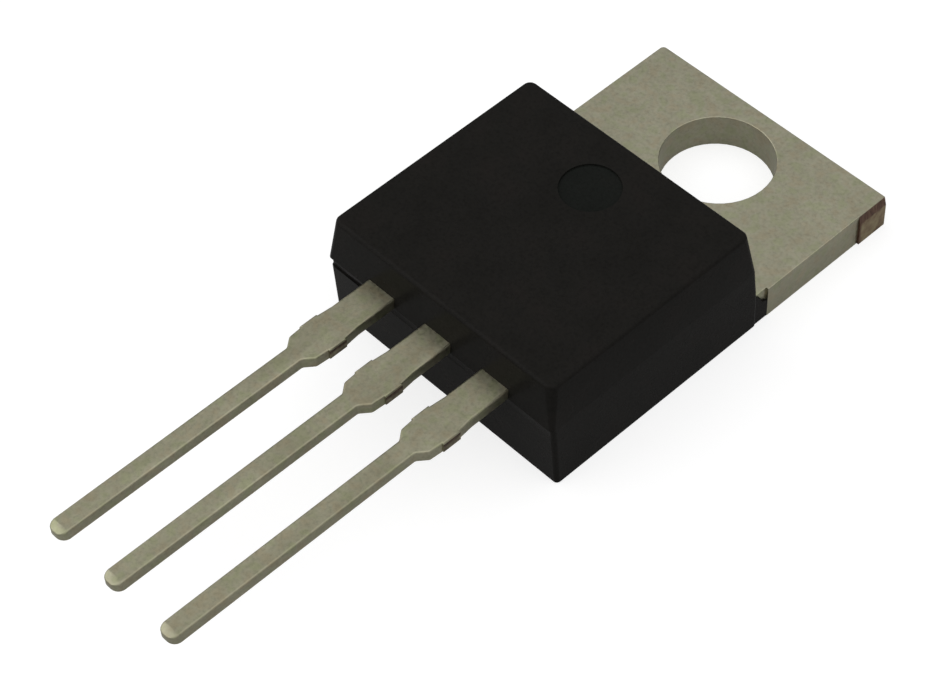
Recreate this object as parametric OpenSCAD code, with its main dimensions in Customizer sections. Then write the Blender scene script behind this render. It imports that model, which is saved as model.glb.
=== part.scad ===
// Thyristor in a three-lead flat-tab power package.
// Frame: origin on the mounting hole's axis at the metal rear face, +Z from the rear
// face to the top of the moulding, +Y towards the tab's free end, leads towards -Y.
// All sizes in millimetres.

/* [Moulded body] */
// Width of the moulding at its parting line and below
body_width = 10.08; // [9.6:0.02:10.4]
// Length of the moulding from its foot on the tab to its lip over the leads
body_length = 9.15; // [8.8:0.05:9.6]
// Height of the top face above the rear face
body_height = 4.45; // [4.2:0.05:4.8]
// Draft angle of the walls above the parting line, in degrees
upper_draft = 6.2; // [4:0.2:9]
// Draft angle of the lead-side wall below the parting line, in degrees
lower_draft = 2.4; // [0:0.2:5]
// Overhang of the upper half over the lead-side wall below it
parting_lip = 0.05; // [0.02:0.01:0.12]
// Height of the relief under the overhang, between and beside the leads
relief_height = 0.44; // [0.2:0.02:0.8]
// Depth of the relief
relief_depth = 0.05; // [0.02:0.01:0.1]
// Radius of the upright corners at the parting line and below
corner_radius = 0.15; // [0.1:0.01:0.5]
// Radius of the upright corners at the top face
top_corner_radius = 0.3; // [0.26:0.01:0.6]
// Radius of the edges round the top face
top_edge_radius = 0.15; // [0.08:0.01:0.25]
// Step from the metal rear face up to the underside of the moulding
rear_setback = 0.03; // [0.01:0.01:0.1]

/* [Ejector pin mark] */
// Diameter of the round mark in the top face
mark_diameter = 2.04; // [1.2:0.02:2.6]
// Depth of the mark
mark_depth = 0.06; // [0.04:0.01:0.2]
// Distance from the moulding's foot on the tab to the middle of the mark
mark_from_foot = 2.4; // [2:0.01:4]
// Distance from the moulding's centre line to the middle of the mark
mark_offset = 0.06; // [0:0.02:1]

/* [Mounting tab] */
// Width of the tab
tab_width = 10; // [9.7:0.05:10.4]
// Exposed length of the tab beyond the moulding
tab_length = 6.12; // [5.8:0.02:6.6]
// Thickness of the tab and of the heat spreader under the chip
tab_thickness = 1.29; // [1.15:0.01:1.4]
// Radius of the two corners at the free end
tab_corner_radius = 0.16; // [0.1:0.02:1]
// Diameter of the mounting hole
hole_diameter = 3.9; // [3.5:0.05:4]
// Distance from the hole's axis to the free end
hole_to_end = 2.61; // [2.5:0.01:2.95]
// Length, along the tab, of the notch where each edge leaves the moulding
notch_length = 0.52; // [0.3:0.02:0.8]
// Resin beside the tab's neck, from the neck's edge to the moulding's side
neck_cover = 0.14; // [0.12:0.01:0.6]
// Setback of the resin in each notch from the moulding's side
plug_setback = 0.04; // [0.02:0.01:0.08]
// Length of the sheared tie bar stub on each edge, up to the free end
tie_stub_length = 1.26; // [0.6:0.02:1.6]
// How far the foot of the tie bar stub stands proud of the edge
tie_stub_proud = 0.08; // [0.03:0.01:0.12]
// Height of the stub's slanting shear above its upright foot
tie_shear_height = 0.34; // [0.1:0.02:0.6]

/* [Heat spreader] */
// Width of the spreader inside the moulding
spreader_width = 8.4; // [7.6:0.1:8.8]
// Distance from the moulding's lip to the spreader's end
spreader_from_lip = 1.4; // [1.2:0.05:1.8]
// Width of the undercut that the resin grips along each side
undercut_width = 0.3; // [0.1:0.02:0.5]
// Height of the undercut above the rear face
undercut_height = 0.5; // [0.3:0.05:0.8]
// Width of the groove that keeps moisture from creeping along the tab
groove_width = 0.4; // [0.2:0.05:0.8]
// Depth of the groove
groove_depth = 0.2; // [0.1:0.05:0.4]

/* [Leads] */
// Spacing of the leads, centre to centre
lead_pitch = 2.54; // [2.54, 2.5]
// Thickness of the lead frame
lead_thickness = 0.4; // [0.35:0.05:0.6]
// Height of the underside of the leads above the rear face
lead_height = 2.7; // [2.4:0.05:2.8]
// Length of the leads beyond the moulding's lip
lead_length = 12.94; // [10:0.02:14]
// Width of the narrow part that goes through a board
shank_width = 0.69; // [0.6:0.01:0.9]
// Width of the broad part next to the moulding
root_width = 1.2; // [1:0.02:1.3]
// Width of the swelling left by the dam bar
dam_width = 1.31; // [1.24:0.01:1.6]
// Distance from the lip to the start of the swelling
dam_start = 1.5; // [1:0.05:1.6]
// Length of the slope into the swelling
dam_slope = 0.55; // [0.3:0.05:0.8]
// Length of the sheared dam bar stub on each edge
dam_stub_length = 0.7; // [0.3:0.05:0.9]
// How far the dam bar stub stands proud of the swelling
dam_stub_proud = 0.045; // [0.02:0.005:0.08]
// Distance from the stub to the swelling's shoulder
shoulder_gap = 0.49; // [0.3:0.01:0.7]
// Width of the swelling at its shoulder
shoulder_width = 1.24; // [1.1:0.01:1.4]
// Length of the slope from the shoulder to the narrow part
neck_slope = 0.34; // [0.25:0.01:0.6]
// Radius of the shoulder's corners
shoulder_radius = 0.16; // [0.05:0.01:0.2]
// Radius of the fillets where the narrow part starts
neck_fillet_radius = 0.16; // [0.05:0.01:0.25]
// Radius of the two corners at the tip
tip_radius = 0.26; // [0.1:0.01:0.28]
// Length over which the tip is thinned
tip_length = 0.3; // [0.2:0.05:1]
// Thickness of the tip's end
tip_thickness = 0.24; // [0.15:0.01:0.3]

/* [Bonding posts] */
// Width of the cathode lead's bonding post
cathode_post_width = 2.3; // [1.8:0.1:2.6]
// Width of the gate lead's bonding post
gate_post_width = 1.7; // [1.4:0.1:2.2]
// Length of both bonding posts
post_length = 1.3; // [1:0.1:1.6]
// Depth of the posts' outer edge behind the moulding's lip
post_depth = 0.75; // [0.6:0.05:1]
// Radius of the two grips cut in each lead behind the wall
grip_radius = 0.2; // [0.1:0.02:0.25]

/* [Chip and bond wires] */
// Side of the square silicon chip
die_size = 3.4; // [2.6:0.1:4]
// Thickness of the chip
die_thickness = 0.28; // [0.2:0.01:0.4]
// Distance from the moulding's lip to the middle of the chip
die_from_lip = 4.55; // [4.4:0.05:5]
// Thickness of the solder under the chip
solder_thickness = 0.05; // [0.03:0.01:0.1]
// Width of the solder's rim round the chip
solder_rim = 0.12; // [0.05:0.01:0.3]
// Diameter of the two cathode bond wires
cathode_wire_diameter = 0.34; // [0.25:0.01:0.38]
// Diameter of the gate bond wire
gate_wire_diameter = 0.2; // [0.15:0.01:0.3]
// Distance between the two cathode wires
cathode_wire_gap = 0.8; // [0.6:0.05:1]
// Angle at which the bond wires rise from the posts, in degrees
wire_rise_angle = 20; // [10:1:30]
// Length of a bonded foot as a multiple of its wire's diameter
foot_ratio = 2.4; // [2:0.1:3]

/* [Hidden] */
$fn = 48;

// Number of sides of the round children of a hull
ROUND = 32;
// Angle between the discs that round the top edges
EDGE_STEP = 15;
// Overlap used where a cutter runs past a face
CUT = 1;
// Thickness of the discs that a hull is stretched over
DISC = 0.01;

// Stations along Y
tab_end_y = hole_to_end;
foot_y = tab_end_y - tab_length;
lip_y = foot_y - body_length;
tip_y = lip_y - lead_length;
neck_half = body_width / 2 - neck_cover;
spreader_end_y = lip_y + spreader_from_lip;
die_y = lip_y + die_from_lip;

// Levels along Z
parting_z = lead_height;
lead_top_z = lead_height + lead_thickness;
solder_top_z = tab_thickness + solder_thickness;
die_top_z = solder_top_z + die_thickness;

cathode_x = -lead_pitch;
gate_x = lead_pitch;
post_near_y = lip_y + post_depth;
post_far_y = post_near_y + post_length;
// Where the middle lead leaves the level of the others
bend_y = (post_near_y + lip_y) / 2;
// Height of a bonded foot, as a multiple of its wire's diameter
foot_flat = 0.75;
// Distance from a post's edge to the middle of a foot, as a multiple of the foot's length
foot_inset = 0.75;

BLACK = "#26262a";
TIN = "#a9a894";
SILICON = "#5f6670";
SOLDER = "#9c9c9c";
ALUMINIUM = "#d4d4d8";

// ---- moulded body ----

// Wall inset at a height, from the draft above the parting line
function upper_inset(z) = (z - parting_z) * tan(upper_draft);
// The tab-side wall has one draft from the top face down to the tab
function back_y(z) = foot_y - (z - tab_thickness) * tan(upper_draft);
// The lead-side wall below the parting line
function front_y(z) = lip_y + parting_lip + (parting_z - z) * tan(lower_draft);

// Four upright discs at one level, as the corners of a drafted form
module corner_discs(front, back, z) {
    r = corner_radius;
    for (side = [-1, 1], y = [front + r, back - r])
        translate([side * (body_width / 2 - r), y, z]) cylinder(r = r, h = DISC, $fn = ROUND);
}

// Half of the moulding above the parting line
module upper_half() {
    half = body_width / 2;
    r = top_corner_radius;
    edge = top_edge_radius;
    top_z = body_height - edge;
    inset = upper_inset(top_z) + r;
    hull() {
        corner_discs(lip_y, back_y(parting_z), parting_z);
        for (side = [-1, 1], y = [lip_y + inset, back_y(top_z) - r], a = [0 : EDGE_STEP : 90])
            translate([side * (half - inset), y, top_z + edge * sin(a) - DISC])
                cylinder(r = r - edge * (1 - cos(a)), h = DISC, $fn = ROUND);
    }
}

// Half of the moulding below the parting line, with the relief under the overhang
module lower_half() {
    ledge_z = parting_z - relief_height;
    hull() {
        corner_discs(front_y(ledge_z), back_y(ledge_z), ledge_z - DISC);
        corner_discs(front_y(tab_thickness), foot_y, tab_thickness - DISC);
        corner_discs(front_y(rear_setback), foot_y, rear_setback);
    }
    hull() for (z = [ledge_z, parting_z])
        corner_discs(front_y(z) + relief_depth, back_y(z), z - DISC);
}

// Resin that runs out into the notch in each edge of the tab
module notch_plug(side) {
    outer = body_width / 2 - plug_setback;
    width = outer - neck_half;
    t = tab_thickness;
    profile = [[-corner_radius, rear_setback], [notch_length, rear_setback],
               [notch_length, 0.45 * t], [0.9 * notch_length, 0.62 * t],
               [0.55 * notch_length, 0.68 * t], [0.4 * notch_length, 0.76 * t],
               [0.3 * notch_length, 0.9 * t], [0, 0.99 * t], [-corner_radius, 0.99 * t]];
    translate([side * (outer - width / 2), foot_y, 0])
        rotate([90, 0, 90]) linear_extrude(width, center = true) polygon(profile);
}

module body_form() {
    difference() {
        union() {
            upper_half();
            lower_half();
            for (side = [-1, 1]) notch_plug(side);
        }
        translate([-mark_offset, foot_y - mark_from_foot, body_height - mark_depth])
            cylinder(d = mark_diameter, h = mark_depth + CUT);
    }
}

// ---- stamped copper ----

// Plan of the tab: the head with its rounded end, and the neck between the notches
module tab_plan() {
    half = tab_width / 2;
    r = tab_corner_radius;
    notch_end = foot_y + notch_length;
    translate([-half, notch_end]) square([tab_width, tab_end_y - r - notch_end]);
    translate([r - half, notch_end]) square([tab_width - 2 * r, tab_end_y - notch_end]);
    for (x = [r - half, half - r]) translate([x, tab_end_y - r]) circle(r);
    translate([-neck_half, foot_y - neck_cover])
        square([2 * neck_half, notch_length + neck_cover + DISC]);
}

// Stub of the sheared tie bar on the +X edge, from its start to an end along Y
module tie_stub(end_y) {
    start_y = tab_end_y - tie_stub_length;
    profile = [[-tab_corner_radius, 0], [tie_stub_proud, 0],
               [tie_stub_proud, tab_thickness - tie_shear_height], [0, tab_thickness],
               [-tab_corner_radius, tab_thickness]];
    translate([tab_width / 2, end_y, 0]) rotate([90, 0, 0])
        linear_extrude(end_y - start_y) polygon(profile);
}

// Section of the spreader across its width, with the undercut on each side
module spreader_section() {
    half = spreader_width / 2;
    lower = half - undercut_width;
    polygon([[-lower, 0], [lower, 0], [lower, undercut_height - undercut_width / 2],
             [half, undercut_height], [half, tab_thickness], [-half, tab_thickness],
             [-half, undercut_height], [-lower, undercut_height - undercut_width / 2]]);
}

module heat_spreader() {
    difference() {
        translate([0, foot_y, 0]) rotate([90, 0, 0])
            linear_extrude(foot_y - spreader_end_y) spreader_section();
        // groove across the spreader between the chip and the tab
        translate([0, foot_y - 2 * groove_width, tab_thickness]) rotate([90, 0, 90])
            linear_extrude(spreader_width + CUT, center = true)
                polygon([[-groove_width / 2, 0], [groove_width / 2, 0], [0, -groove_depth]]);
    }
}

// Corner b of an outline that runs from a to c, rounded to a radius
function rounded(a, b, c, r, steps = 5) =
    let (u = (a - b) / norm(a - b), v = (c - b) / norm(c - b), half = acos(u * v) / 2,
         centre = b + (u + v) / norm(u + v) * r / sin(half),
         first = b + u * r / tan(half) - centre, start = atan2(first[1], first[0]),
         sweep = -sign(u[0] * v[1] - u[1] * v[0]) * (180 - 2 * half))
    [for (i = [0 : steps]) let (angle = start + sweep * i / steps)
        centre + r * [cos(angle), sin(angle)]];

// One edge of a lead, from an inner end behind the moulding's wall to the tip
function lead_edge(inner_y) =
    let (slope = [root_width / 2, lip_y - dam_start], full_y = slope[1] - dam_slope,
         stub_end = [dam_width / 2, full_y - dam_stub_length], proud_x = stub_end[0] + dam_stub_proud,
         shoulder = [shoulder_width / 2, stub_end[1] - shoulder_gap],
         neck = [shank_width / 2, shoulder[1] - neck_slope], corner = [neck[0], tip_y])
    concat([[slope[0], inner_y], slope, [stub_end[0], full_y], [proud_x, full_y],
            [proud_x, stub_end[1]], stub_end],
           rounded(stub_end, shoulder, neck, shoulder_radius),
           rounded(shoulder, neck, corner, neck_fillet_radius),
           rounded(neck, corner, [0, tip_y], tip_radius));

// Plan of a lead: one edge and its mirror image
module lead_plan(inner_y) {
    edge = lead_edge(inner_y);
    polygon(concat(edge, [for (i = [len(edge) - 1 : -1 : 0]) [-edge[i][0], edge[i][1]]]));
}

// Side view of the frame's sheet, thinned towards the tip
module sheet_side(inner_y) {
    bevel = (lead_thickness - tip_thickness) / 2;
    polygon([[tip_y, lead_height + bevel], [tip_y + tip_length, lead_height],
             [inner_y, lead_height], [inner_y, lead_top_z],
             [tip_y + tip_length, lead_top_z], [tip_y, lead_top_z - bevel]]);
}

// Straight lead from its tip to an inner end
module straight_lead(inner_y) {
    intersection() {
        translate([0, 0, lead_height - CUT])
            linear_extrude(lead_thickness + 2 * CUT) lead_plan(inner_y);
        rotate([90, 0, 90]) linear_extrude(2 * dam_width, center = true) sheet_side(inner_y);
    }
}

// Outer lead: straight lead, grips behind the wall and a bonding post to one side
module outer_lead(post_width) {
    difference() {
        union() {
            straight_lead(post_near_y + DISC);
            translate([-post_width / 2, post_near_y, lead_height])
                cube([post_width, post_length, lead_thickness]);
        }
        for (side = [-1, 1])
            translate([side * root_width / 2, bend_y + grip_radius / 2, lead_height - CUT])
                cylinder(r = grip_radius, h = lead_thickness + 2 * CUT);
    }
}

// Web that drops the middle lead onto the end of the heat spreader
module joggle() {
    low_z = tab_thickness - lead_thickness;
    end_y = spreader_end_y;
    rotate([90, 0, 90]) linear_extrude(root_width, center = true)
        polygon([[bend_y - DISC, lead_height], [bend_y, lead_height], [end_y, low_z],
                 [end_y + DISC, low_z], [end_y + DISC, tab_thickness],
                 [end_y - 2 * DISC, tab_thickness], [bend_y + lead_thickness / 2, lead_top_z],
                 [bend_y - DISC, lead_top_z]]);
}

// ---- bond wires ----

// Wire arched between two bonded feet; a and b are the points under their middles
module bond_wire(a, b, d) {
    flat = norm([b[0] - a[0], b[1] - a[1]]);
    rise = b[2] - a[2];
    chord = norm([flat, rise]);
    heading = atan2(b[1] - a[1], b[0] - a[0]);
    slope = atan2(rise, flat);
    half_arc = wire_rise_angle - slope;
    loop_radius = chord / (2 * sin(half_arc));
    foot = foot_ratio * d;
    lift = 0.56 * d;
    translate(a) rotate([0, 0, heading]) {
        // arc in the upright plane through both feet
        translate([0, 0, lift]) rotate([90, -slope, 0])
            translate([chord / 2, -loop_radius * cos(half_arc), 0])
                rotate_extrude(angle = 2 * half_arc, start = 90 - half_arc)
                    translate([loop_radius, 0]) circle(d / 2);
        for (p = [[0, 0], [flat, rise]])
            translate([p[0] - foot / 2, -0.6 * d, p[1]]) cube([foot, 1.2 * d, foot_flat * d]);
    }
}

// Y of the middle of a wire's foot on a bonding post
function post_foot_y(d) = post_far_y - foot_inset * foot_ratio * d;

// ---- nodes ----

module tab_with_anode_lead() {
    color(TIN) {
        difference() {
            union() {
                linear_extrude(tab_thickness) tab_plan();
                heat_spreader();
                tie_stub(tab_end_y);
                mirror([1, 0, 0]) tie_stub(tab_end_y - tab_corner_radius);
            }
            translate([0, 0, -CUT]) cylinder(d = hole_diameter, h = tab_thickness + 2 * CUT);
        }
        straight_lead(bend_y);
        joggle();
    }
}

module cathode_lead() {
    color(TIN) translate([cathode_x, 0, 0]) outer_lead(cathode_post_width);
}

module gate_lead() {
    color(TIN) translate([gate_x, 0, 0]) outer_lead(gate_post_width);
}

module die_solder() {
    side = die_size + 2 * solder_rim;
    color(SOLDER) translate([-side / 2, die_y - side / 2, tab_thickness])
        cube([side, side, solder_thickness]);
}

module thyristor_die() {
    color(SILICON) translate([-die_size / 2, die_y - die_size / 2, solder_top_z])
        cube([die_size, die_size, die_thickness]);
}

// Cathode wires run side by side from the post to the chip
module cathode_wire(offset_x) {
    post = [cathode_x + offset_x, post_foot_y(cathode_wire_diameter), lead_top_z];
    pad = [offset_x - 0.6 * cathode_wire_gap, die_y, die_top_z];
    color(ALUMINIUM) bond_wire(post, pad, cathode_wire_diameter);
}

module cathode_wire_outer() {
    cathode_wire(-cathode_wire_gap / 2);
}

module cathode_wire_inner() {
    cathode_wire(cathode_wire_gap / 2);
}

module gate_wire() {
    post = [gate_x, post_foot_y(gate_wire_diameter), lead_top_z];
    pad = [0.3 * die_size, die_y - 0.3 * die_size, die_top_z];
    color(ALUMINIUM) bond_wire(post, pad, gate_wire_diameter);
}

module moulded_body() {
    color(BLACK) difference() {
        body_form();
        tab_with_anode_lead();
        cathode_lead();
        gate_lead();
        die_solder();
        thyristor_die();
        cathode_wire_outer();
        cathode_wire_inner();
        gate_wire();
    }
}

moulded_body();
tab_with_anode_lead();
cathode_lead();
gate_lead();
die_solder();
thyristor_die();
cathode_wire_outer();
cathode_wire_inner();
gate_wire();
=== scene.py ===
"""Thyristor in a flat-tab power package: looks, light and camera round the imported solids."""

import math

import bmesh
import bpy
from mathutils import Matrix, Vector


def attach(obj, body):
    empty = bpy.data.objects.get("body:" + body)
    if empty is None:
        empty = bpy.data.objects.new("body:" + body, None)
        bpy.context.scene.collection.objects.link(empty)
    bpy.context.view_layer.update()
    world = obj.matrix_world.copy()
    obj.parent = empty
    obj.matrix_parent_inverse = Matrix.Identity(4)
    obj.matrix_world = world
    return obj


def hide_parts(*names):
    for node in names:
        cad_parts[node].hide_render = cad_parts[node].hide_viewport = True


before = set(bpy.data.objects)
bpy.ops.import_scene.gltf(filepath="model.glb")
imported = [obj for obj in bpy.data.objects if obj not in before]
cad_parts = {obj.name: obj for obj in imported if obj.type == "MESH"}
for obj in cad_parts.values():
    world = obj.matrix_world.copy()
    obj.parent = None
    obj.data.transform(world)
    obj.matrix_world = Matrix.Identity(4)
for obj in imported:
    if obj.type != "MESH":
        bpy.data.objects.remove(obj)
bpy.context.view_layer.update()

MM = 0.001  # one millimetre in scene units

# ---------------------------------------------------------------- sizes, in millimetres

# copper
LEAD_LOW = 2.69                 # faces above this height belong to the leads
LEAD_TOP = 3.1                  # upper face of the leads
LEAD_PITCH = 2.54               # spacing of the leads
STUB_FROM = 5.005               # tab faces further out than this are cut tie bars
STUB_START = 1.35               # end of the tie bar stub nearest the moulding, along Y
STUB_SHEAR = 0.95               # height where the stub's slanting shear starts
DAM_FROM = 0.675                # side faces further from a lead's middle are cut dam bars
SIDEWAYS = 0.99                 # part of its normal that a side face has along X, at least
LEAD_STRETCH = (-30.0, -12.45)  # along Y, from beyond the tips to inside the moulding
TAB_STRETCH = (-3.8, 10.0)      # along Y, from inside the moulding to beyond the free end
LEAD_ROLL, TAB_ROLL = 0.07, 0.03    # radii that the stamping die leaves on upper edges
ROLL_STEPS = 5                  # flat strips that make up a rolled edge
RAGGED = 0.12                   # how far the rim of torn bare copper wanders and fades
BEYOND_THE_TIPS = -50.0         # place along Y that no cut face reaches

# moulding
MARK_AXIS = (-0.06, -5.91, 0.0)     # axis of the ejector pin mark
MARK_RIM, MARK_FACE = 1.03, 1.0     # distances from it where its tone starts and is full
RELIEF_FRONT = -12.38           # the front relief lies before this place along Y
RELIEF_HEIGHTS = (2.27, 2.699)  # heights between which its face lies
RELIEF_DEPTH = 0.05             # how far it is sunk in the wall
RUN_OUT = (-2.75, -2.35)        # along X, where it starts to run out and has run out

JOIN = 0.0005                   # points of a solid closer than this become one
ON_CUT = 0.01                   # slack for points that lie on a cut

# angles in degrees: flat faces that meet at less become one, edges that turn more stay crisp
STAMPING_FLAT, STAMPING_CRISP = 1.0, 35.0
MOULDING_FLAT, MOULDING_CRISP = 0.5, 20.0

# ---------------------------------------------------------------- colour and nodes


def colour(hex_code):
    """sRGB hex to a linear colour with full alpha."""
    channels = [int(hex_code[i:i + 2], 16) / 255 for i in (1, 3, 5)]
    return [c / 12.92 if c <= 0.04045 else ((c + 0.055) / 1.055) ** 2.4 for c in channels] + [1.0]


def add(tree, kind, inputs=(), stops=(), **settings):
    """Adds one node. inputs pairs a socket's name or number with a value or an output.

    stops are a colour ramp's positions and hex codes, in rising order.
    """
    node = tree.nodes.new(kind)
    for key, value in settings.items():
        setattr(node, key, value)
    for key, value in dict(inputs).items():
        if isinstance(value, bpy.types.NodeSocket):
            tree.links.new(value, node.inputs[key])
        else:
            node.inputs[key].default_value = value
    for number, (position, hex_code) in enumerate(stops):
        band = node.color_ramp.elements
        stop = band[number] if number < len(band) else band.new(position)
        stop.position, stop.color = position, colour(hex_code)
    return node


def new_material(name):
    """An empty material, its node tree and the object's own coordinates in metres."""
    material = bpy.data.materials.new(name)
    material.use_nodes = True
    tree = material.node_tree
    tree.nodes.clear()
    return material, tree, add(tree, "ShaderNodeTexCoord").outputs["Object"]


def grain_scale(size_mm):
    """Noise scale whose blobs are about size_mm wide in object space."""
    return 1.0 / (size_mm * MM)


# ---------------------------------------------------------------- materials


def moulded_epoxy():
    """Epoxy moulding compound, transfer-moulded in a polished tool: flat black, faintly glossy.

    Soft flow marks 1.6 mm wide and pale filler grains break up the black; the walls just
    mirror the leads. The face left by the ejector pin is a shade darker than the skin round
    it. The filler is really about 0.05 mm across and is drawn at 0.1 mm, or it would not show.
    """
    material, tree, place = new_material("epoxy_moulding_compound")
    flow = add(tree, "ShaderNodeTexNoise",
               {"Vector": place, "Scale": grain_scale(1.6), "Detail": 3.0, "Roughness": 0.6})
    filler = add(tree, "ShaderNodeTexNoise",
                 {"Vector": place, "Scale": grain_scale(0.1), "Detail": 3.0, "Roughness": 0.65})
    black = add(tree, "ShaderNodeValToRGB", {"Fac": flow.outputs["Fac"]},
                ((0.33, "#1c1b19"), (0.5, "#1e1d1b"), (0.67, "#201e1c")))
    specks = add(tree, "ShaderNodeValToRGB", {"Fac": filler.outputs["Fac"]},
                 ((0.3, "#d8d8d8"), (0.5, "#f4f4f4"), (0.7, "#ffffff")))
    speckled = add(tree, "ShaderNodeMix", {0: 1.0, 6: black.outputs[0], 7: specks.outputs[0]},
                   data_type="RGBA", blend_type="MULTIPLY")
    # the pin's round face, found by its distance from the pin's axis
    flattened = add(tree, "ShaderNodeVectorMath", {0: place, 1: (1.0, 1.0, 0.0)},
                    operation="MULTIPLY")
    from_axis = add(tree, "ShaderNodeVectorMath",
                    {0: flattened.outputs[0], 1: [c * MM for c in MARK_AXIS]},
                    operation="DISTANCE")
    pin = add(tree, "ShaderNodeMapRange",
              {"Value": from_axis.outputs["Value"], "From Min": MARK_RIM * MM,
               "From Max": MARK_FACE * MM})
    tone = add(tree, "ShaderNodeMix",
               {0: pin.outputs[0], 6: speckled.outputs[2], 7: colour("#e2f4f2")},
               data_type="RGBA", blend_type="MULTIPLY")
    gloss = add(tree, "ShaderNodeMapRange",
                {"Value": flow.outputs["Fac"], "From Min": 0.3, "From Max": 0.7,
                 "To Min": 0.22, "To Max": 0.3})
    skin = add(tree, "ShaderNodeBump",
               {"Strength": 0.22, "Distance": 0.012 * MM, "Height": filler.outputs["Fac"]})
    resin = add(tree, "ShaderNodeBsdfPrincipled",
                {"Base Color": tone.outputs[2], "Roughness": gloss.outputs[0], "IOR": 1.5,
                 "Specular IOR Level": 0.03, "Normal": skin.outputs["Normal"]})
    add(tree, "ShaderNodeOutputMaterial", {"Surface": resin.outputs["BSDF"]})
    return material


def tin_plate(name, stain_mm, along, dull, plain, bright):
    """Matt tin electroplated on stamped copper: satin, olive grey, never mirror-bright.

    Soft stains stain_mm wide, stretched where along is below one, a faint green and pink
    bloom half a millimetre wide where fingers touched it, and the crystal grain. The
    crystals are really 5 to 10 micrometres across and are drawn at 0.12 mm, or they would
    not show.
    """
    material, tree, place = new_material(name)
    drawn = add(tree, "ShaderNodeVectorMath", {0: place, 1: along}, operation="MULTIPLY")
    stain = add(tree, "ShaderNodeTexNoise",
                {"Vector": drawn.outputs[0], "Scale": grain_scale(stain_mm), "Detail": 5.0,
                 "Roughness": 0.6})
    bloom = add(tree, "ShaderNodeTexNoise",
                {"Vector": place, "Scale": grain_scale(0.45), "Detail": 2.0})
    grain = add(tree, "ShaderNodeTexNoise",
                {"Vector": place, "Scale": grain_scale(0.12), "Detail": 3.0, "Roughness": 0.7})
    grey = add(tree, "ShaderNodeValToRGB", {"Fac": stain.outputs["Fac"]},
               ((0.3, dull), (0.5, plain), (0.7, bright)))
    tint = add(tree, "ShaderNodeValToRGB", {"Fac": bloom.outputs["Fac"]},
               ((0.36, "#f8fdf1"), (0.5, "#ffffff"), (0.66, "#fff9f4")))
    crystals = add(tree, "ShaderNodeValToRGB", {"Fac": grain.outputs["Fac"]},
                   ((0.3, "#e2e2e2"), (0.5, "#f5f5f5"), (0.7, "#ffffff")))
    bloomed = add(tree, "ShaderNodeMix", {0: 1.0, 6: grey.outputs[0], 7: tint.outputs[0]},
                  data_type="RGBA", blend_type="MULTIPLY")
    tone = add(tree, "ShaderNodeMix", {0: 1.0, 6: bloomed.outputs[2], 7: crystals.outputs[0]},
               data_type="RGBA", blend_type="MULTIPLY")
    satin = add(tree, "ShaderNodeMapRange",
                {"Value": grain.outputs["Fac"], "From Min": 0.35, "From Max": 0.7,
                 "To Min": 0.36, "To Max": 0.48})
    skin = add(tree, "ShaderNodeBump",
               {"Strength": 0.35, "Distance": 0.008 * MM, "Height": grain.outputs["Fac"]})
    tin = add(tree, "ShaderNodeBsdfPrincipled",
              {"Base Color": tone.outputs[2], "Metallic": 1.0, "Roughness": satin.outputs[0],
               "Normal": skin.outputs["Normal"]})
    add(tree, "ShaderNodeOutputMaterial", {"Surface": tin.outputs["BSDF"]})
    return material


def sheared_copper(name, bare_from, bare_to, torn_tones, smear_tones,
                   bare_end=BEYOND_THE_TIPS):
    """Cut face of a sheared bar: tin smeared over its foot, brown copper torn bare above.

    The copper is bare from the height bare_from (smeared) to bare_to (all bare), and
    beyond the place bare_end along Y. The upright scores of the blade are drawn 0.07 mm
    wide, several times too coarse, so that they show.
    """
    material, tree, place = new_material(name)
    axes = add(tree, "ShaderNodeSeparateXYZ", {0: place})
    torn = add(tree, "ShaderNodeTexNoise",
               {"Vector": place, "Scale": grain_scale(0.12), "Detail": 3.0})
    ragged = add(tree, "ShaderNodeMath",
                 {0: torn.outputs["Fac"], 1: RAGGED * MM, 2: axes.outputs["Z"]},
                 operation="MULTIPLY_ADD")
    above = add(tree, "ShaderNodeMapRange",
                {"Value": ragged.outputs[0], "From Min": (bare_from + RAGGED / 2) * MM,
                 "From Max": (bare_to + RAGGED / 2) * MM})
    beyond = add(tree, "ShaderNodeMapRange",
                 {"Value": axes.outputs["Y"], "From Min": (bare_end + RAGGED) * MM,
                  "From Max": bare_end * MM})
    bare = add(tree, "ShaderNodeMath", {0: above.outputs[0], 1: beyond.outputs[0]},
               operation="MAXIMUM")
    upright = add(tree, "ShaderNodeVectorMath", {0: place, 1: (1.0, 1.0, 0.15)},
                  operation="MULTIPLY")
    scores = add(tree, "ShaderNodeTexNoise",
                 {"Vector": upright.outputs[0], "Scale": grain_scale(0.07), "Detail": 3.0})
    smudge = add(tree, "ShaderNodeTexNoise",
                 {"Vector": place, "Scale": grain_scale(0.35), "Detail": 2.0})
    brown = add(tree, "ShaderNodeValToRGB", {"Fac": scores.outputs["Fac"]}, torn_tones)
    smear = add(tree, "ShaderNodeValToRGB", {"Fac": smudge.outputs["Fac"]}, smear_tones)
    tone = add(tree, "ShaderNodeMix",
               {0: bare.outputs[0], 6: smear.outputs[0], 7: brown.outputs[0]},
               data_type="RGBA")
    skin = add(tree, "ShaderNodeBump",
               {"Strength": 0.4, "Distance": 0.012 * MM, "Height": scores.outputs["Fac"]})
    copper = add(tree, "ShaderNodeBsdfPrincipled",
                 {"Base Color": tone.outputs[2], "Metallic": 0.85, "Roughness": 0.5,
                  "Normal": skin.outputs["Normal"]})
    add(tree, "ShaderNodeOutputMaterial", {"Surface": copper.outputs["BSDF"]})
    return material


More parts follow.
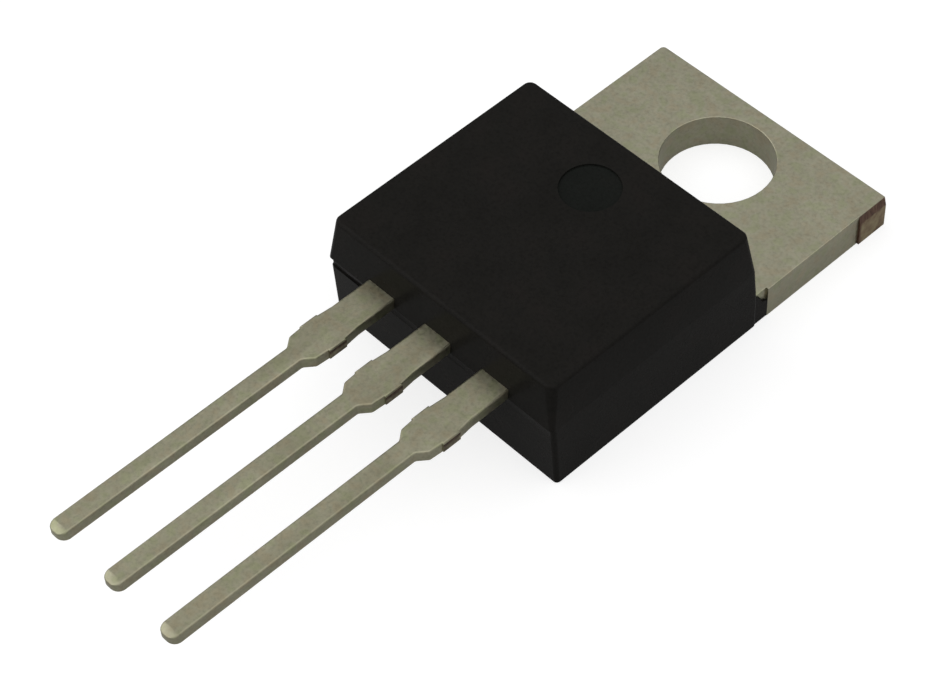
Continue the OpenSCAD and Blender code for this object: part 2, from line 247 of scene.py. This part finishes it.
def plain_inner(name, dark, light, metallic, rough, grain_mm):
    """Finish of a piece sealed in the moulding: two close tones in blobs grain_mm wide.

    The blobs are drawn much coarser than the real grain of a few micrometres, so that they
    show.
    """
    material, tree, place = new_material(name)
    mottle = add(tree, "ShaderNodeTexNoise",
                 {"Vector": place, "Scale": grain_scale(grain_mm), "Detail": 2.0})
    tone = add(tree, "ShaderNodeValToRGB", {"Fac": mottle.outputs["Fac"]},
               ((0.35, dark), (0.65, light)))
    shader = add(tree, "ShaderNodeBsdfPrincipled",
                 {"Base Color": tone.outputs[0], "Metallic": metallic, "Roughness": rough})
    add(tree, "ShaderNodeOutputMaterial", {"Surface": shader.outputs["BSDF"]})
    return material


EPOXY = moulded_epoxy()
TAB_TIN = tin_plate("matt_tin_plate_tab", 1.1, (1.0, 1.0, 1.0), "#aba892", "#b0ad97", "#b6b39d")
LEAD_TIN = tin_plate("matt_tin_plate_lead", 0.7, (1.0, 0.4, 1.0), "#99967f", "#a09d87", "#aba891")
TIE_SHEAR = sheared_copper("sheared_tie_bar", STUB_SHEAR - 0.02, STUB_SHEAR + 0.02,
                           ((0.3, "#503a30"), (0.55, "#694f41"), (0.8, "#7f6653")),
                           ((0.35, "#6e5947"), (0.5, "#86745a"), (0.7, "#9b8e6f")), STUB_START)
# the cut dam bar is the tie bar's copper in darker tones: painted shade, for the stub that sits
# in shade beside the moulding
DAM_SHEAR_SHADED = sheared_copper("sheared_dam_bar_painted_shade", LEAD_TOP - 0.24, LEAD_TOP - 0.14,
                           ((0.3, "#3c3028"), (0.55, "#56463b"), (0.8, "#6f5d4c")),
                           ((0.35, "#575040"), (0.5, "#746d5a"), (0.7, "#979077")))
# silicon chip, ground and diced: smooth and dark grey, with a cool sheen
SILICON = plain_inner("ground_silicon", "#4a4f58", "#5c626c", 0.0, 0.2, 0.4)
# lead-free solder, reflowed under the chip: dull, slightly mottled silver
SOLDER = plain_inner("reflowed_solder", "#8b8b8b", "#9b9b9b", 1.0, 0.4, 0.3)
# aluminium bond wire, drawn: bright and even
WIRE = plain_inner("drawn_aluminium_wire", "#c4c4c8", "#d4d4d8", 1.0, 0.3, 0.1)

# ---------------------------------------------------------------- pieces


def dress(node_name, material):
    """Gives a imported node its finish."""
    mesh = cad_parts[node_name].data
    mesh.materials.clear()
    mesh.materials.append(material)


def take_solid(node_name, ending):
    """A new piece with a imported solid's mesh, and that mesh as a shape to work on."""
    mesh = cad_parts[node_name].data.copy()
    piece = bpy.data.objects.new(node_name + ending, mesh)
    bpy.context.collection.objects.link(piece)
    shape = bmesh.new()
    shape.from_mesh(mesh)
    bmesh.ops.remove_doubles(shape, verts=shape.verts, dist=JOIN * MM)
    return piece, shape


def cut_across(shape, axis, place_mm):
    """Scores the whole shape along a plane across axis 0, 1 or 2, taking nothing off."""
    normal = [float(number == axis) for number in range(3)]
    bmesh.ops.bisect_plane(shape, geom=shape.verts[:] + shape.edges[:] + shape.faces[:],
                           plane_co=[part * place_mm * MM for part in normal],
                           plane_no=normal)


def join_flat_faces(shape, degrees):
    """Makes one face of those that meet at less than an angle."""
    bmesh.ops.dissolve_limit(shape, angle_limit=math.radians(degrees), verts=shape.verts,
                             edges=shape.edges)


def seat(piece, shape, node_name, finishes, crisp_degrees):
    """Turns the worked shape into the piece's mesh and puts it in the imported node's place."""
    shape.normal_update()
    for face in shape.faces:
        face.smooth = True
    for edge in shape.edges:
        edge.smooth = (len(edge.link_faces) == 2
                       and edge.calc_face_angle() < math.radians(crisp_degrees))
    piece.data.materials.clear()
    for material in finishes:
        piece.data.materials.append(material)
    shape.to_mesh(piece.data)
    shape.free()
    # the large flat faces keep their own normal, so only rounded edges look round
    flat = piece.modifiers.new("flat_faces", "WEIGHTED_NORMAL")
    flat.mode, flat.weight, flat.keep_sharp = "FACE_AREA", 100, True
    bpy.context.view_layer.objects.active = piece
    piece.select_set(True)
    bpy.ops.object.modifier_apply(modifier=flat.name)
    piece.select_set(False)
    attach(piece, "root")
    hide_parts(node_name)


def finish_of(face):
    """The finish of one copper face: plating of tab or lead, cut tie bar or cut dam bar."""
    middle = face.calc_center_median() / MM
    if middle.z < LEAD_LOW:
        return TIE_SHEAR if abs(middle.x) > STUB_FROM else TAB_TIN
    across = abs(middle.x - LEAD_PITCH * round(middle.x / LEAD_PITCH))
    return DAM_SHEAR_SHADED if abs(face.normal.x) > SIDEWAYS and across > DAM_FROM else LEAD_TIN


def roll_upper_edges(shape, stretch, radius_mm):
    """Rounds the rim of the upward faces in a stretch along Y; lower edges stay sharp."""
    start, end = (place * MM for place in stretch)
    radius = radius_mm * MM
    for place in stretch:
        cut_across(shape, 1, place)
    upper = [face for face in shape.faces
             if face.normal.z > 0.7 and start < face.calc_center_median().y < end]
    for vert in {vert for face in upper for vert in face.verts}:
        vert.co.z -= radius
    inset, rise = 0.0, 0.0
    for step in range(1, ROLL_STEPS + 1):
        angle = math.pi / 2 * step / ROLL_STEPS
        further, higher = radius * (1 - math.cos(angle)), radius * math.sin(angle)
        bmesh.ops.inset_region(shape, faces=upper, use_boundary=True, use_even_offset=True,
                               thickness=further - inset, depth=higher - rise)
        inset, rise = further, higher


def stamped(node_name):
    """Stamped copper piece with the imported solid's shape, its upper edges rolled over."""
    piece, shape = take_solid(node_name, "_stamping")
    join_flat_faces(shape, STAMPING_FLAT)
    roll_upper_edges(shape, LEAD_STRETCH, LEAD_ROLL)
    roll_upper_edges(shape, TAB_STRETCH, TAB_ROLL)
    shape.normal_update()
    for face in shape.faces:
        face.material_index = FINISHES.index(finish_of(face))
    seat(piece, shape, node_name, FINISHES, STAMPING_CRISP)


def moulded(node_name):
    """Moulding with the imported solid's shape, its front relief run out beyond the first lead.

    The relief under the parting line is deep only at its open end; further on the two mould
    halves meet nearly flush.
    """
    piece, shape = take_solid(node_name, "_shell")
    for place in RUN_OUT:
        cut_across(shape, 0, place)
    shape.normal_update()
    low, high = RELIEF_HEIGHTS
    relief = set()
    for face in shape.faces:
        middle = face.calc_center_median() / MM
        if face.normal.y < -0.05 and middle.y < RELIEF_FRONT and low < middle.z < high:
            relief.update(face.verts)
    for vert in relief:
        if vert.co.x > (RUN_OUT[1] - ON_CUT) * MM:
            vert.co.y -= RELIEF_DEPTH * MM
    join_flat_faces(shape, MOULDING_FLAT)
    seat(piece, shape, node_name, (EPOXY,), MOULDING_CRISP)


FINISHES = (TAB_TIN, LEAD_TIN, TIE_SHEAR, DAM_SHEAR_SHADED)
stamped("tab_with_anode_lead")
stamped("cathode_lead")
stamped("gate_lead")
moulded("moulded_body")
dress("thyristor_die", SILICON)
dress("die_solder", SOLDER)
for wire in ("cathode_wire_outer", "cathode_wire_inner", "gate_wire"):
    dress(wire, WIRE)

# ---------------------------------------------------------------- floor and light

ROOM = 0.15                 # level of the room's walls
# pale ceiling and wall: direction, cosine where each starts to show, and added level
PALE_SIDES = (((0.0, 0.0, 1.0), 0.3, 0.8), ((0.9, 0.0, 0.4), 0.2, 0.5))
PAPER = "#a8a8a8"           # the paper's own grey, as metal and resin see it
PAPER_LIFT = 0.72           # raises the paper to white in the picture
GLOSS_LIFT = 0.14           # a smaller lift where metal and resin mirror it
PAPER_HALF_WIDTH = 1.5      # half the side of the square sheet, in metres
PAPER_DROP = 0.01           # millimetres under the part, so that no two faces coincide
# soft box at the front left: place, aim and side in metres, power in watts
BOX_PLACE, BOX_AIM = (-0.222, -0.173, 0.118), (0.0, -0.01, 0.0)
BOX_SIDE, BOX_POWER = 0.45, 0.78


def white_paper():
    """Matt paper under the part: it reads white and keeps a faint shadow."""
    material, tree, _ = new_material("white_paper_sweep")
    path = add(tree, "ShaderNodeLightPath")
    mirrored = add(tree, "ShaderNodeMath",
                   {0: path.outputs["Is Glossy Ray"], 1: path.outputs["Is Transmission Ray"]},
                   operation="MAXIMUM")
    faint = add(tree, "ShaderNodeMath", {0: mirrored.outputs[0], 1: GLOSS_LIFT},
                operation="MULTIPLY")
    lift = add(tree, "ShaderNodeMath",
               {0: path.outputs["Is Camera Ray"], 1: PAPER_LIFT, 2: faint.outputs[0]},
               operation="MULTIPLY_ADD")
    paper = add(tree, "ShaderNodeBsdfDiffuse", {"Color": colour(PAPER)})
    glow = add(tree, "ShaderNodeEmission", {"Strength": lift.outputs[0]})
    both = add(tree, "ShaderNodeAddShader", {0: paper.outputs[0], 1: glow.outputs[0]})
    add(tree, "ShaderNodeOutputMaterial", {"Surface": both.outputs[0]})
    return material


def sweep():
    """Wide flat floor just under the part."""
    half = PAPER_HALF_WIDTH
    mesh = bpy.data.meshes.new("paper_floor")
    mesh.from_pydata([(-half, -half, 0), (half, -half, 0), (half, half, 0), (-half, half, 0)],
                     [], [(0, 1, 2, 3)])
    floor = bpy.data.objects.new("paper_floor", mesh)
    floor.location.z = -PAPER_DROP * MM
    bpy.context.collection.objects.link(floor)
    mesh.materials.append(white_paper())


def softbox():
    """Large square area light at the front left, the only lamp."""
    data = bpy.data.lights.new("front_left", "AREA")
    data.shape = "SQUARE"
    data.size = BOX_SIDE
    data.energy = BOX_POWER
    lamp = bpy.data.objects.new("front_left", data)
    lamp.location = BOX_PLACE
    aim = Vector(BOX_AIM) - Vector(BOX_PLACE)
    lamp.rotation_euler = aim.to_track_quat("-Z", "Y").to_euler()
    bpy.context.collection.objects.link(lamp)


def room_light():
    """Grey room with a pale ceiling and one pale wall, and white behind the paper's edge."""
    world = bpy.data.worlds.new("studio")
    bpy.context.scene.world = world
    world.use_nodes = True
    tree = world.node_tree
    tree.nodes.clear()
    path = add(tree, "ShaderNodeLightPath")
    towards = add(tree, "ShaderNodeTexCoord").outputs["Generated"]
    level = ROOM
    for direction, edge, added in PALE_SIDES:
        facing = add(tree, "ShaderNodeVectorMath",
                     {0: towards, 1: Vector(direction).normalized()}, operation="DOT_PRODUCT")
        glow = add(tree, "ShaderNodeMapRange",
                   {"Value": facing.outputs["Value"], "From Min": edge, "From Max": 1.0,
                    "To Max": added}, interpolation_type="SMOOTHSTEP")
        level = add(tree, "ShaderNodeMath", {0: level, 1: glow.outputs[0]}).outputs[0]
    room = add(tree, "ShaderNodeBackground", {"Color": colour("#ffffff"), "Strength": level})
    white = add(tree, "ShaderNodeBackground", {"Color": colour("#ffffff"), "Strength": 1.0})
    pick = add(tree, "ShaderNodeMixShader",
               {0: path.outputs["Is Camera Ray"], 1: room.outputs[0], 2: white.outputs[0]})
    add(tree, "ShaderNodeOutputWorld", {"Surface": pick.outputs[0]})


sweep()
room_light()
softbox()

# ---------------------------------------------------------------- camera

# Viewing angles in degrees, distance and aim in millimetres, lens in sensor widths
AZIMUTH, ELEVATION, ROLL = 48.965, 50.551, -3.264
DISTANCE, AIM = 86.343, (0.028, -11.443, 1.5)
LENS_RATIO = 2761.0 / 935.0
SENSOR = 36.0               # sensor width in millimetres
CLIP = (0.005, 20.0)        # nearest and furthest distance that is drawn, in metres


def camera():
    """Camera on a sphere round its aim point, rolled a little about its own axis."""
    az, el, roll = (math.radians(a) for a in (AZIMUTH, ELEVATION, ROLL))
    back = Vector((math.sin(az) * math.cos(el), -math.cos(az) * math.cos(el), math.sin(el)))
    level = Vector((math.cos(az), math.sin(az), 0))
    upright = back.cross(level)
    right = math.cos(roll) * level + math.sin(roll) * upright
    up = math.cos(roll) * upright - math.sin(roll) * level
    data = bpy.data.cameras.new("view")
    data.sensor_fit = "HORIZONTAL"
    data.sensor_width = SENSOR
    data.lens = LENS_RATIO * SENSOR
    data.clip_start, data.clip_end = CLIP
    eye = bpy.data.objects.new("view", data)
    turn = Matrix((right, up, back)).transposed().to_4x4()
    eye.matrix_world = Matrix.Translation((Vector(AIM) + back * DISTANCE) * MM) @ turn
    bpy.context.collection.objects.link(eye)
    bpy.context.scene.camera = eye


camera()
bpy.context.scene.view_settings.view_transform = "Standard"
